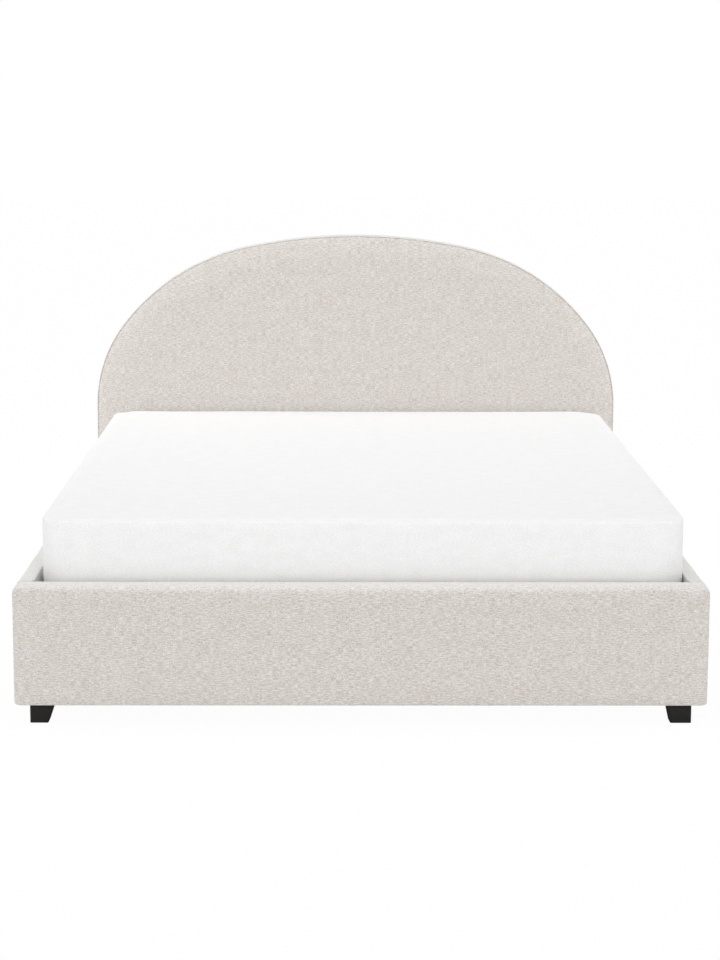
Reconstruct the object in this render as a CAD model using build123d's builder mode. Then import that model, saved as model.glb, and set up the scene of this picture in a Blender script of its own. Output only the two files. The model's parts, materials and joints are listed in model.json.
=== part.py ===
from build123d import *
import os
from math import asin, atan2, cos, degrees, hypot, radians, sin

# Double storage bed: an upholstered box whose slatted platform lifts at the foot end, carrying
# the mattress, with a rounded headboard.
# Millimetres. X runs to the right as seen from the foot, Y towards the head, Z up from the floor.
# The origin is on the floor under the middle of the bed.

os.makedirs("parts", exist_ok=True)

# Mattress
mattress_width = 1600.0
mattress_length = 2000.0
mattress_height = 220.0
mattress_base_height = 280.0
mattress_offset = 5.0  # it lies a little to the right
mattress_corner_radius = 70.0
mattress_top_round = 12.0
mattress_bottom_round = 16.0
mattress_cover_thickness = 5.0
comfort_pad_thickness = 32.0
base_pad_thickness = 14.0
border_foam_width = 40.0
spring_columns = 13
spring_rows = 16
spring_pocket_gap = 4.0
spring_pocket_wall = 2.0

# Upholstered box
foot_height = 52.0
rail_height = 302.0
rail_thickness = 48.0
rail_side_gap = 8.0
head_gap = 12.0
foot_gap = 16.0
footboard_thickness = 60.0
board_thickness = 22.0
fabric_thickness = 3.0  # where it is turned down inside and tucked underneath
return_gap = 31.0  # from the platform's rests up to the edge of the turned-down fabric
top_padding = 6.0
rail_top_round = 20.0
rail_bottom_round = 6.0
footboard_top_round = 14.0
footboard_corner_round = 16.0

# Headboard
headboard_height = 1080.0
headboard_overhang = 5.0
side_arc_radius = 440.0
side_arc_turn = 37.5
shoulder_arc_radius = 695.0
shoulder_arc_turn = 77.8
headboard_pad_depth = 35.0
headboard_panel_thickness = 15.0
headboard_frame_depth = 33.0
back_cloth_thickness = 2.0
band_thickness = 10.0
band_setback = 12.0
band_round = 4.5
rim_width = 40.0
upright_width = 66.0
cross_rail_width = 45.0
cross_rail_heights = (300.0, 450.0, 760.0)
pad_edge_width = 64.0
pad_edge_depth_shares = (1.0, 0.49, 0.29, 0.12, 0.03, 0.0)
pad_edge_width_shares = (0.0, 0.0, 0.08, 0.28, 0.6, 1.0)

# Feet and their fixings
foot_size = 62.0
foot_inset = 36.0
foot_taper_wide = 17.0
foot_taper_narrow = 10.0
foot_edge_radius = 4.0
foot_recess_radius = 8.5
foot_recess_depth = 15.0
rear_foot_distance = 21.0
centre_foot_radius = 25.0
centre_foot_taper = 6.0
centre_foot_shares = (0.2, 0.5, 0.8)
bolt_radius = 4.0
bolt_head_radius = 6.5
bolt_head_height = 5.0
bolt_clearance = 0.2
nut_radius = 7.5
nut_height = 6.5

# Corner brackets
bracket_thickness = 3.0
bracket_leg = 63.0
bracket_top_gap = 54.0
bracket_bolt_shares = (0.3, 0.75)
bracket_bolt_inset = 31.0
rail_bolt_depth = 19.0
foot_end_bolt_depth = 19.0
head_end_bolt_depth = 66.0

# Storage floor
ledge_width = 22.0
ledge_height = 18.0
ledge_end_gap = 3.0
ledge_screw_count = 5
centre_beam_width = 44.0
centre_beam_height = 20.0
floor_panel_thickness = 6.0
floor_panel_gap = 2.0
floor_panel_rows = 3
floor_edge_clearance = 4.0

# Lift linkage: each side has a swing arm on a base plate, a glide in a level track and a gas
# strut. The arm is as long as the stretch of hinge plate from the glide to the arm's pivot, so
# the glide stays level and the platform tilts by as much as the arm turns. The strut's two ends
# are as far from the arm's pivot as each other, so the strut turns by half of that.
arm_length = 300.0
glide_distance = 150.0
pivot_rise = 25.0  # above the storage floor
strut_radius = 200.0
strut_base_angle = 183.0
strut_lug_turn = 22.0  # from the arm to the lug that the strut hangs on
running_clearance = 0.05
base_plate_thickness = 4.0
base_plate_front_margin = 55.0
base_plate_rear_margin = 20.0
base_plate_drop = 24.0
base_plate_rise = 76.0
plate_corner_radius = 12.0
plate_screw_inset = 18.0
arm_gap = 2.0
arm_thickness = 5.0
lug_radius = 14.0
pivot_radius = 6.0
pivot_shoulder_radius = 9.0
pivot_head_height = 1.4
pivot_play = 0.3
strut_offset = 11.0
strut_body_radius = 9.0
strut_bore_radius = 7.5
strut_rod_radius = 4.0
strut_eye_width = 12.0
strut_neck_radius = 6.0
strut_pin_radius = 4.0
strut_guide_length = 6.0
strut_back_wall = 16.0
piston_thickness = 6.0
piston_clearance = 0.2
strut_rod_length = 153.0
strut_body_length = 152.0
hinge_plate_gap = 3.0
hinge_plate_thickness = 5.0
track_wall = 3.0
track_depth = 16.0
track_rear_margin = 25.0
track_travel = 290.0
glide_radius = 10.0
glide_clearance = 0.3
glide_pin_radius = 5.0
screw_radius = 2.5
screw_head_radius = 6.0
screw_head_height = 2.5
flush_head_radius = 4.0
flush_head_height = 1.0
screw_depth = 18.0

# Platform
tube_size = 30.0
tube_wall = 2.0
tube_radius = 3.0
platform_head_margin = 8.0
platform_foot_margin = 22.0
centre_tube_width = 40.0
slat_count = 14
slat_width = 68.0
slat_thickness = 8.0
slat_edge_radius = 3.0
slat_centre_gap = 4.0
cap_wall = 2.0
cap_length = 28.0
cap_side_wall = 4.0
rest_bracket_shares = (0.53, 0.91)
rest_bracket_width = 44.0
rest_bracket_drop = 46.0
buffer_radius = 12.0
buffer_height = 4.7
rest_gap = 0.3
stop_width = 300.0
stop_thickness = 4.0
stop_height = 57.0
stop_gap = 1.0
strap_width = 40.0
strap_thickness = 3.0
strap_length = 52.0
strap_corner_radius = 8.0

# Places that follow from the sizes above
rail_bottom = foot_height
rail_top = rail_bottom + rail_height
board_bottom = rail_bottom + fabric_thickness
board_top = rail_top - top_padding
inner_x = mattress_width / 2 + rail_side_gap
board_inner_x = inner_x + fabric_thickness
board_outer_x = board_inner_x + board_thickness
bed_half_width = inner_x + rail_thickness
bay_length = head_gap + mattress_length + foot_gap
bed_front = bay_length + footboard_thickness
headboard_back = -(
    headboard_pad_depth + headboard_panel_thickness + headboard_frame_depth + back_cloth_thickness
)
head_face_y = (bed_front + headboard_back) / 2
SIDES = (("left", -1), ("right", 1))


def along(distance):
    """The Y of a place this far from the headboard's face, measured towards the foot."""
    return head_face_y - distance


def place(x, distance, z):
    return Vector(x, along(distance), z)


def block(x, distance, z, mode=Mode.ADD):
    """Add a block between two X values, two distances from the headboard and two heights."""
    low = place(min(x), max(distance), min(z))
    size = place(max(x), min(distance), max(z)) - low
    with Locations(low + size / 2):
        Box(size.X, size.Y, size.Z, mode=mode)


def bar(start, end, radius, mode=Mode.ADD):
    """Add a round bar between two places, each given as X, distance and height."""
    base = place(*start)
    run = place(*end) - base
    with Locations(Plane(origin=base, z_dir=run).location):
        Cylinder(radius, run.length, align=(Align.CENTER, Align.CENTER, Align.MIN), mode=mode)


def cross_bar(sign, x, spot, radius, mode=Mode.ADD):
    """Add a round bar across the bed on one side, at a spot given as distance and height."""
    bar((sign * x[0], *spot), (sign * x[1], *spot), radius, mode)


def side_plane(sign, x):
    """An upright plane along the bed, whose sketches are drawn in Y and Z."""
    return Plane.YZ.offset(sign * x)


def end_plane(distance):
    """An upright plane across the bed, whose extrusions run towards the foot."""
    return Plane.XZ.offset(-along(distance))


def turned(centre, radius, angle):
    """A spot at an angle about a centre, both as distance and height."""
    return (centre[0] + radius * cos(radians(angle)), centre[1] + radius * sin(radians(angle)))


def linked_plate(spots, radius):
    """The outline of a flat plate with a round lug at each of three spots."""
    corners = [(along(distance), z) for distance, z in spots]
    with BuildSketch() as outline:
        Polygon(*corners, align=None)
        for start, end in zip(corners, corners[1:] + corners[:1]):
            run = (end[0] - start[0], end[1] - start[1])
            with Locations(((start[0] + end[0]) / 2, (start[1] + end[1]) / 2)):
                SlotCenterToCenter(hypot(*run), 2 * radius, rotation=degrees(atan2(run[1], run[0])))
    return outline.sketch


def arch(inset, base):
    """The headboard's outline drawn in by an inset: five arcs, tangent to upright sides."""
    half_width = bed_half_width + headboard_overhang
    side_centre_x = half_width - side_arc_radius
    step = side_arc_radius - shoulder_arc_radius
    shoulder_x = side_centre_x + step * cos(radians(side_arc_turn))
    shoulder_rise = step * sin(radians(side_arc_turn))
    crown_radius = shoulder_arc_radius + shoulder_x / cos(radians(shoulder_arc_turn))
    crown_drop = shoulder_x * sin(radians(shoulder_arc_turn)) / cos(radians(shoulder_arc_turn))
    spring = headboard_height - crown_radius + crown_drop - shoulder_rise
    side_turn = side_arc_turn
    shoulder_turn = shoulder_arc_turn - side_arc_turn
    with BuildSketch() as outline:
        with BuildLine():
            Line((-half_width + inset, base), (half_width - inset, base))
            Line((half_width - inset, base), (half_width - inset, spring))
            CenterArc((side_centre_x, spring), side_arc_radius - inset, 0, side_turn)
            CenterArc(
                (shoulder_x, spring + shoulder_rise),
                shoulder_arc_radius - inset,
                side_arc_turn,
                shoulder_turn,
            )
            CenterArc(
                (0, headboard_height - crown_radius),
                crown_radius - inset,
                shoulder_arc_turn,
                180 - 2 * shoulder_arc_turn,
            )
            CenterArc(
                (-shoulder_x, spring + shoulder_rise),
                shoulder_arc_radius - inset,
                180 - shoulder_arc_turn,
                shoulder_turn,
            )
            CenterArc(
                (-side_centre_x, spring), side_arc_radius - inset, 180 - side_arc_turn, side_turn
            )
            Line((-half_width + inset, spring), (-half_width + inset, base))
        make_face()
    return outline.sketch


def soft_slab(inset, bottom, top, top_round, bottom_round):
    """A layer of the mattress, drawn in by an inset, with its long edges rounded."""
    corner = max(mattress_corner_radius - inset, mattress_cover_thickness)
    centre = (mattress_offset, along(head_gap + mattress_length / 2))
    with BuildPart() as slab:
        with BuildSketch(Plane.XY.offset(bottom)):
            with Locations(centre):
                RectangleRounded(mattress_width - 2 * inset, mattress_length - 2 * inset, corner)
        extrude(amount=top - bottom)
        if top_round:
            fillet(slab.faces().sort_by(Axis.Z)[-1].edges(), top_round)
        if bottom_round:
            fillet(slab.faces().sort_by(Axis.Z)[0].edges(), bottom_round)
    return slab.part


def lengthwise_tube(x, distance, z, width):
    """A square tube along the bed, given by its middle X, its two ends and its middle height."""
    with BuildPart() as tube:
        with BuildSketch(end_plane(distance[0])):
            with Locations((x, z)):
                RectangleRounded(width, tube_size, tube_radius)
                RectangleRounded(
                    width - 2 * tube_wall, tube_size - 2 * tube_wall, tube_wall / 2, mode=Mode.SUBTRACT
                )
        extrude(amount=distance[1] - distance[0])
    return tube.part


def crosswise_tube(x, distance, z):
    """A square tube across the bed, given by its two ends and its middle distance and height."""
    with BuildPart() as tube:
        with BuildSketch(Plane.YZ.offset(x[0])):
            with Locations((along(distance), z)):
                RectangleRounded(tube_size, tube_size, tube_radius)
                RectangleRounded(
                    tube_size - 2 * tube_wall,
                    tube_size - 2 * tube_wall,
                    tube_wall / 2,
                    mode=Mode.SUBTRACT,
                )
        extrude(amount=x[1] - x[0])
    return tube.part


def finish(piece, name):
    piece.part.label = name
    export_step(piece.part, f"parts/{name}.step")


# Places up and along the platform, and up the storage floor
cap_height = slat_thickness + 2 * cap_wall
tube_top = mattress_base_height - cap_height
tube_bottom = tube_top - tube_size
tube_z = tube_top - tube_size / 2
platform_distance = (head_gap + platform_head_margin, head_gap + mattress_length - platform_foot_margin)
slat_pitch = (platform_distance[1] - platform_distance[0]) / slat_count
slat_distances = [platform_distance[0] + slat_pitch * (k + 1 / 2) for k in range(slat_count)]
mattress_top = mattress_base_height + mattress_height
foot_end = head_gap + mattress_length
ledge_top = rail_bottom + centre_beam_height
panel_top = ledge_top + floor_panel_thickness

# Places of the lift linkage, each as distance from the headboard's face and height
pivot_height = panel_top + pivot_rise
arm_rest_angle = degrees(asin((tube_z - pivot_height) / arm_length))
strut_arm_angle = 180 - arm_rest_angle - strut_lug_turn
level_reach = arm_length * cos(radians(arm_rest_angle))
glide_spot = (glide_distance, pivot_height)
platform_pivot = (glide_distance + level_reach, tube_z)
arm_pivot = (glide_distance + 2 * level_reach, pivot_height)
strut_base = turned(arm_pivot, strut_radius, strut_base_angle)
strut_top = turned(arm_pivot, strut_radius, strut_arm_angle)
strut_run = (strut_top[0] - strut_base[0], strut_top[1] - strut_base[1])
strut_length = hypot(*strut_run)

# Places across the bed, from its middle outwards
base_plate_x = (board_inner_x - base_plate_thickness, board_inner_x)
arm_x = (base_plate_x[0] - arm_gap - arm_thickness, base_plate_x[0] - arm_gap)
strut_x = arm_x[0] - strut_offset
strut_eye_x = (strut_x - strut_eye_width / 2, strut_x + strut_eye_width / 2)
hinge_plate_x1 = strut_x - strut_body_radius - hinge_plate_gap
hinge_plate_x = (hinge_plate_x1 - hinge_plate_thickness, hinge_plate_x1)
tube_centre_x = hinge_plate_x[0] - tube_size / 2
tube_inner_x = hinge_plate_x[0] - tube_size
track_x = (board_inner_x - track_depth, board_inner_x)
slat_outer_x = hinge_plate_x[0] - cap_side_wall - cap_wall

# Places of the platform's rests, of the edge of the turned-down fabric, and of the brackets and
# bolts below it that hold the box together
rest_shelf_z = tube_bottom - rest_gap - buffer_height
return_bottom = rest_shelf_z + return_gap
bracket_height = return_bottom - rail_bottom - bracket_top_gap
bolt_heights = [rail_bottom + share * bracket_height for share in bracket_bolt_shares]
corner_distances = (0, bay_length)
bracket_bolt_x = board_inner_x - bracket_bolt_inset
head_bolt_distance = bracket_bolt_inset
foot_bolt_distance = bay_length - bracket_bolt_inset
foot_x = bed_half_width - foot_inset - foot_size / 2
front_foot_distance = bed_front - foot_inset - foot_size / 2
pad_back = -headboard_pad_depth
panel_back = pad_back - headboard_panel_thickness
frame_back = panel_back - headboard_frame_depth
hole_radius = bolt_radius + bolt_clearance
rest_bracket_distances = [share * bay_length for share in rest_bracket_shares]

# Places of what is screwed to the rails, and of the screws
ledge_distance = (bracket_leg + ledge_end_gap, bay_length - bracket_leg - ledge_end_gap)
ledge_x = (board_inner_x - ledge_width, board_inner_x)
ledge_z = (ledge_top - ledge_height, ledge_top)
ledge_pitch = (ledge_distance[1] - ledge_distance[0]) / ledge_screw_count
ledge_screws = [
    (ledge_distance[0] + ledge_pitch * (k + 1 / 2), ledge_top - ledge_height / 2)
    for k in range(ledge_screw_count)
]
plate_distance = (strut_base[0] - base_plate_rear_margin, arm_pivot[0] + base_plate_front_margin)
plate_z = (pivot_height - base_plate_drop, pivot_height + base_plate_rise)
plate_screws = [
    (distance, z)
    for distance in (plate_distance[0] + plate_screw_inset, plate_distance[1] - plate_screw_inset)
    for z in (plate_z[0] + plate_screw_inset, plate_z[1] - plate_screw_inset)
    if z > pivot_height or distance > arm_pivot[0]
]
track_distance = (glide_distance - track_rear_margin, glide_distance + track_travel)
track_inner_height = 2 * (glide_radius + glide_clearance)
track_height = track_inner_height + 2 * track_wall
track_screws = [
    (track_distance[0] + flush_head_radius + glide_clearance, pivot_height),
    (track_distance[1] - flush_head_radius - glide_clearance, pivot_height),
]
rest_leg_z = (rest_shelf_z - rest_bracket_drop, rest_shelf_z)
rest_screws = [
    (distance + offset, (rest_leg_z[0] + rest_leg_z[1]) / 2)
    for distance in rest_bracket_distances
    for offset in (-rest_bracket_width / 4, rest_bracket_width / 4)
]
screw_hole_radius = screw_radius + running_clearance

# Headboard, from its front to its back
with BuildPart() as headboard_pad:
    for depth_share, width_share in zip(pad_edge_depth_shares, pad_edge_width_shares):
        with BuildSketch(end_plane(-depth_share * headboard_pad_depth)):
            add(arch(band_thickness + width_share * pad_edge_width, rail_bottom))
    loft(ruled=True)
    for sign in (-1, 1):
        for z in bolt_heights:
            spot_x = sign * bracket_bolt_x
            bar((spot_x, pad_back, z), (spot_x, 0, z), hole_radius, Mode.SUBTRACT)
finish(headboard_pad, "headboard_pad")

with BuildPart() as headboard_panel:
    with BuildSketch(end_plane(panel_back)):
        add(arch(band_thickness, rail_bottom))
    extrude(amount=headboard_panel_thickness)
    for sign in (-1, 1):
        for z in bolt_heights:
            spot_x = sign * bracket_bolt_x
            bar((spot_x, panel_back, z), (spot_x, pad_back, z), hole_radius, Mode.SUBTRACT)
finish(headboard_panel, "headboard_panel")

rim_inner = arch(band_thickness + rim_width, rail_bottom + rim_width)
with BuildPart() as headboard_rim:
    with BuildSketch(end_plane(frame_back)):
        add(arch(band_thickness, rail_bottom))
        add(rim_inner, mode=Mode.SUBTRACT)
    extrude(amount=headboard_frame_depth)
finish(headboard_rim, "headboard_rim")

rim_inner_x = bed_half_width + headboard_overhang - band_thickness - rim_width
upright_x = (rim_inner_x - upright_width, rim_inner_x)
upright_z = (rail_bottom + rim_width, cross_rail_heights[1] + cross_rail_width)
with BuildPart() as headboard_uprights:
    with BuildSketch(end_plane(frame_back)):
        for sign in (-1, 1):
            with Locations((sign * sum(upright_x) / 2, sum(upright_z) / 2)):
                Rectangle(upright_x[1] - upright_x[0], upright_z[1] - upright_z[0])
        add(rim_inner, mode=Mode.INTERSECT)
    extrude(amount=headboard_frame_depth)
    for sign in (-1, 1):
        for z in bolt_heights:
            spot_x = sign * bracket_bolt_x
            bar((spot_x, frame_back, z), (spot_x, panel_back, z), hole_radius, Mode.SUBTRACT)
finish(headboard_uprights, "headboard_uprights")

with BuildPart() as headboard_cross_rails:
    with BuildSketch(end_plane(frame_back)):
        for z in cross_rail_heights[:2]:
            with Locations((0, z + cross_rail_width / 2)):
                Rectangle(2 * upright_x[0], cross_rail_width)
        with Locations((0, cross_rail_heights[2] + cross_rail_width / 2)):
            Rectangle(2 * bed_half_width, cross_rail_width)
        add(rim_inner, mode=Mode.INTERSECT)
    extrude(amount=headboard_frame_depth)
finish(headboard_cross_rails, "headboard_cross_rails")

with BuildPart() as headboard_band:
    with BuildSketch(end_plane(headboard_back)):
        add(arch(0, rail_bottom))
        add(arch(band_thickness, rail_bottom - band_thickness), mode=Mode.SUBTRACT)
    extrude(amount=-headboard_back - band_setback)
    front_face = headboard_band.faces().sort_by(Axis.Y)[0]
    fillet([e for e in front_face.edges() if e.length > 2 * band_thickness], band_round)
finish(headboard_band, "headboard_band")

with BuildPart() as headboard_back_cloth:
    with BuildSketch(end_plane(headboard_back)):
        add(arch(band_thickness, rail_bottom))
    extrude(amount=back_cloth_thickness)
finish(headboard_back_cloth, "headboard_back_cloth")

# Footboard
with BuildPart() as footboard_core:
    core_distance = (bay_length + fabric_thickness, bay_length + fabric_thickness + board_thickness)
    block((-board_outer_x, board_outer_x), core_distance, (board_bottom, board_top))
    for sign in (-1, 1):
        for z in bolt_heights:
            start = (sign * bracket_bolt_x, core_distance[0], z)
            end = (sign * bracket_bolt_x, bay_length + foot_end_bolt_depth, z)
            bar(start, end, hole_radius, Mode.SUBTRACT)
finish(footboard_core, "footboard_core")

with BuildPart() as footboard_cover:
    block((-bed_half_width, bed_half_width), (bay_length, bed_front), (rail_bottom, rail_top))
    front_edges = footboard_cover.faces().sort_by(Axis.Y)[0].edges()
    fillet(front_edges.filter_by(Axis.Z), footboard_corner_round)
    top_edges = footboard_cover.faces().sort_by(Axis.Z)[-1].edges()
    fillet(top_edges.sort_by(Axis.Y)[:-1], footboard_top_round)
    bottom_edges = footboard_cover.faces().sort_by(Axis.Z)[0].edges()
    fillet(bottom_edges.sort_by(Axis.Y)[:-1], rail_bottom_round)
    block((-board_outer_x, board_outer_x), core_distance, (board_bottom, board_top), Mode.SUBTRACT)
    block(
        (-board_inner_x, board_inner_x),
        (bay_length, core_distance[0]),
        (rail_bottom, return_bottom),
        Mode.SUBTRACT,
    )
finish(footboard_cover, "footboard_cover")

# Side rails
for side, sign in SIDES:
    with BuildPart() as side_rail_core:
        core_x = (sign * board_inner_x, sign * board_outer_x)
        block(core_x, (0, bay_length), (board_bottom, board_top))
        for distance in (head_bolt_distance, foot_bolt_distance):
            for z in bolt_heights:
                depth_x = (board_inner_x, inner_x + rail_bolt_depth)
                cross_bar(sign, depth_x, (distance, z), hole_radius, Mode.SUBTRACT)
        depth_x = (board_inner_x, board_inner_x + screw_depth)
        for spot in (*plate_screws, *track_screws, *rest_screws, *ledge_screws):
            cross_bar(sign, depth_x, spot, screw_hole_radius, Mode.SUBTRACT)
    finish(side_rail_core, f"side_rail_core_{side}")

    with BuildPart() as side_rail_cover:
        cover_x = (sign * inner_x, sign * bed_half_width)
        block(cover_x, (0, bay_length), (rail_bottom, rail_top))
        for level, radius in ((-1, rail_top_round), (0, rail_bottom_round)):
            long_edges = side_rail_cover.edges().filter_by(Axis.Y)
            outer_edges = long_edges.group_by(Axis.X)[-1 if sign > 0 else 0]
            fillet(outer_edges.sort_by(Axis.Z)[level], radius)
        block(core_x, (0, bay_length), (board_bottom, board_top), Mode.SUBTRACT)
        block(
            (sign * inner_x, sign * board_inner_x),
            (0, bay_length),
            (rail_bottom, return_bottom),
            Mode.SUBTRACT,
        )
    finish(side_rail_cover, f"side_rail_cover_{side}")

# Corner brackets, each with a plate underneath and a nut for the foot's bolt
foot_distances = (rear_foot_distance, front_foot_distance)
with BuildPart() as corner_brackets:
    for sign in (-1, 1):
        for corner, inward, foot_distance in zip(corner_distances, (1, -1), foot_distances):
            leg_end = corner + inward * bracket_leg
            wide_x = (sign * (board_inner_x - bracket_leg), sign * board_inner_x)
            thin_x = (sign * inner_x, sign * board_inner_x)
            heights = (rail_bottom, rail_bottom + bracket_height)
            leg_start = corner if inward > 0 else corner + fabric_thickness
            block(wide_x, (leg_start, leg_start + inward * bracket_thickness), heights)
            block(thin_x, (leg_start, leg_end), heights)
            block(wide_x, (leg_start, leg_end), (rail_bottom, rail_bottom + bracket_thickness))
            nut_z = rail_bottom + bracket_thickness + nut_height
            foot_place = (sign * foot_x, foot_distance)
            bar((*foot_place, rail_bottom), (*foot_place, nut_z), nut_radius)
            bar((*foot_place, rail_bottom), (*foot_place, nut_z), hole_radius, Mode.SUBTRACT)
            for z in bolt_heights:
                bolt_x = sign * bracket_bolt_x
                end = (bolt_x, leg_start + inward * bracket_thickness, z)
                bar((bolt_x, leg_start, z), end, hole_radius, Mode.SUBTRACT)
                bolt_distance = corner + inward * bracket_bolt_inset
                leg_x = (inner_x, board_inner_x)
                cross_bar(sign, leg_x, (bolt_distance, z), hole_radius, Mode.SUBTRACT)
finish(corner_brackets, "corner_brackets")

with BuildPart() as corner_bolts:
    for sign in (-1, 1):
        for z in bolt_heights:
            bolt_x = sign * bracket_bolt_x
            head_seat = bracket_thickness
            foot_seat = bay_length + fabric_thickness - bracket_thickness
            head_top = head_seat + bolt_head_height
            foot_top = foot_seat - bolt_head_height
            bar((bolt_x, head_seat, z), (bolt_x, head_top, z), bolt_head_radius)
            bar((bolt_x, head_seat, z), (bolt_x, -head_end_bolt_depth, z), bolt_radius)
            bar((bolt_x, foot_seat, z), (bolt_x, foot_top, z), bolt_head_radius)
            foot_tip = bay_length + foot_end_bolt_depth
            bar((bolt_x, foot_seat, z), (bolt_x, foot_tip, z), bolt_radius)
            for distance in (head_bolt_distance, foot_bolt_distance):
                head_x = (inner_x - bolt_head_height, inner_x)
                cross_bar(sign, head_x, (distance, z), bolt_head_radius)
                cross_bar(sign, (inner_x, inner_x + rail_bolt_depth), (distance, z), bolt_radius)
finish(corner_bolts, "corner_bolts")

# Feet: square blocks that taper on their two inner sides, each turned to its own corner
def foot(sign, distance, outward, taper_x, taper_y):
    """A corner foot; outward is 1 where its straight end face looks to the bed's foot end."""
    centre = place(sign * foot_x, distance, 0)
    with BuildPart() as block_foot:
        for z, shrink_x, shrink_y in ((0, taper_x, taper_y), (foot_height, 0, 0)):
            with BuildSketch(Plane.XY.offset(z)):
                shift_x = sign * shrink_x / 2
                shift_y = -outward * shrink_y / 2
                with Locations((centre.X + shift_x, centre.Y + shift_y)):
                    RectangleRounded(foot_size - shrink_x, foot_size - shrink_y, foot_edge_radius)
        loft()
        spot = (sign * foot_x, distance)
        bar((*spot, 0), (*spot, foot_height), hole_radius, Mode.SUBTRACT)
        bar((*spot, 0), (*spot, foot_recess_depth), foot_recess_radius, Mode.SUBTRACT)
    return block_foot


tapers = (foot_taper_wide, foot_taper_narrow)
for side, sign in SIDES:
    turn = 1 if sign < 0 else -1
    front_foot = foot(sign, front_foot_distance, 1, *tapers[::turn])
    finish(front_foot, f"foot_front_{side}")
    rear_foot = foot(sign, rear_foot_distance, -1, *tapers[::-turn])
    finish(rear_foot, f"foot_rear_{side}")

with BuildPart() as foot_bolts:
    for sign in (-1, 1):
        for distance in foot_distances:
            spot = (sign * foot_x, distance)
            head_base = foot_recess_depth - bolt_head_height
            tip = rail_bottom + bracket_thickness + nut_height
            bar((*spot, head_base), (*spot, foot_recess_depth), bolt_head_radius)
            bar((*spot, foot_recess_depth), (*spot, tip), bolt_radius)
finish(foot_bolts, "foot_bolts")

# Storage floor
for side, sign in SIDES:
    with BuildPart() as floor_ledge:
        block([sign * x for x in ledge_x], ledge_distance, ledge_z)
        for spot in ledge_screws:
            head_x = (ledge_x[0], ledge_x[0] + screw_head_height)
            cross_bar(sign, ledge_x, spot, screw_hole_radius, Mode.SUBTRACT)
            cross_bar(sign, head_x, spot, screw_head_radius + running_clearance, Mode.SUBTRACT)
    finish(floor_ledge, f"floor_ledge_{side}")

with BuildPart() as floor_centre_beam:
    beam_x = (-centre_beam_width / 2, centre_beam_width / 2)
    block(beam_x, (0, core_distance[0]), (rail_bottom, ledge_top))
finish(floor_centre_beam, "floor_centre_beam")

with BuildPart() as centre_feet:
    for share in centre_foot_shares:
        base = place(0, share * bay_length, 0)
        with Locations(base):
            Cone(
                centre_foot_radius - centre_foot_taper,
                centre_foot_radius,
                foot_height,
                align=(Align.CENTER, Align.CENTER, Align.MIN),
            )
finish(centre_feet, "centre_feet")

with BuildPart() as storage_floor_panels:
    panel_x = (floor_panel_gap / 2, inner_x - floor_edge_clearance)
    row_length = (bay_length - 2 * floor_edge_clearance) / floor_panel_rows
    for sign in (-1, 1):
        for row in range(floor_panel_rows):
            row_start = floor_edge_clearance + row * row_length
            row_ends = (row_start + floor_panel_gap / 2, row_start + row_length - floor_panel_gap / 2)
            block([sign * x for x in panel_x], row_ends, (ledge_top, panel_top))
finish(storage_floor_panels, "storage_floor_panels")

# Lift linkage on the rails: base plates, tracks, pivot studs and rest brackets
for side, sign in SIDES:
    with BuildPart() as lift_base_plate:
        with BuildSketch(side_plane(sign, base_plate_x[0])):
            with Locations((along(sum(plate_distance) / 2), sum(plate_z) / 2)):
                RectangleRounded(
                    plate_distance[1] - plate_distance[0],
                    plate_z[1] - plate_z[0],
                    plate_corner_radius,
                )
        extrude(amount=sign * base_plate_thickness)
        for spot in plate_screws:
            cross_bar(sign, base_plate_x, spot, screw_hole_radius, Mode.SUBTRACT)
    finish(lift_base_plate, f"lift_base_plate_{side}")

    with BuildPart() as glide_track:
        track_z = (pivot_height - track_height / 2, pivot_height + track_height / 2)
        hollow_x = (sign * track_x[0], sign * (track_x[1] - track_wall))
        hollow_z = (track_z[0] + track_wall, track_z[1] - track_wall)
        block([sign * x for x in track_x], track_distance, track_z)
        block(hollow_x, track_distance, hollow_z, Mode.SUBTRACT)
        for spot in track_screws:
            back_x = (track_x[1] - track_wall, track_x[1])
            head_x = (back_x[0], back_x[0] + flush_head_height)
            cross_bar(sign, back_x, spot, screw_hole_radius, Mode.SUBTRACT)
            cross_bar(sign, head_x, spot, flush_head_radius + running_clearance, Mode.SUBTRACT)
    finish(glide_track, f"glide_track_{side}")

with BuildPart() as base_studs:
    for sign in (-1, 1):
        arm_hole_x = (arm_x[0] - pivot_play, arm_x[1] + pivot_play)
        shoulder_x = (arm_hole_x[1], base_plate_x[0])
        cap_x = (arm_hole_x[0] - pivot_head_height, arm_hole_x[0])
        cross_bar(sign, shoulder_x, arm_pivot, pivot_shoulder_radius)
        cross_bar(sign, arm_hole_x, arm_pivot, pivot_radius)
        cross_bar(sign, cap_x, arm_pivot, pivot_shoulder_radius)
        eye_x = (strut_eye_x[0] - pivot_play, strut_eye_x[1] + pivot_play)
        cross_bar(sign, (eye_x[1], base_plate_x[0]), strut_base, strut_neck_radius)
        cross_bar(sign, eye_x, strut_base, strut_pin_radius)
        cross_bar(sign, (eye_x[0] - pivot_head_height, eye_x[0]), strut_base, strut_neck_radius)
finish(base_studs, "base_studs")

with BuildPart() as rest_brackets:
    for sign in (-1, 1):
        for distance in rest_bracket_distances:
            width = (distance - rest_bracket_width / 2, distance + rest_bracket_width / 2)
            leg_x = (sign * inner_x, sign * board_inner_x)
            shelf_x = (sign * tube_inner_x, sign * board_inner_x)
            block(leg_x, width, rest_leg_z)
            block(shelf_x, width, (rest_leg_z[1] - bracket_thickness, rest_leg_z[1]))
        for spot in rest_screws:
            cross_bar(sign, (inner_x, board_inner_x), spot, screw_hole_radius, Mode.SUBTRACT)
finish(rest_brackets, "rest_brackets")

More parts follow.
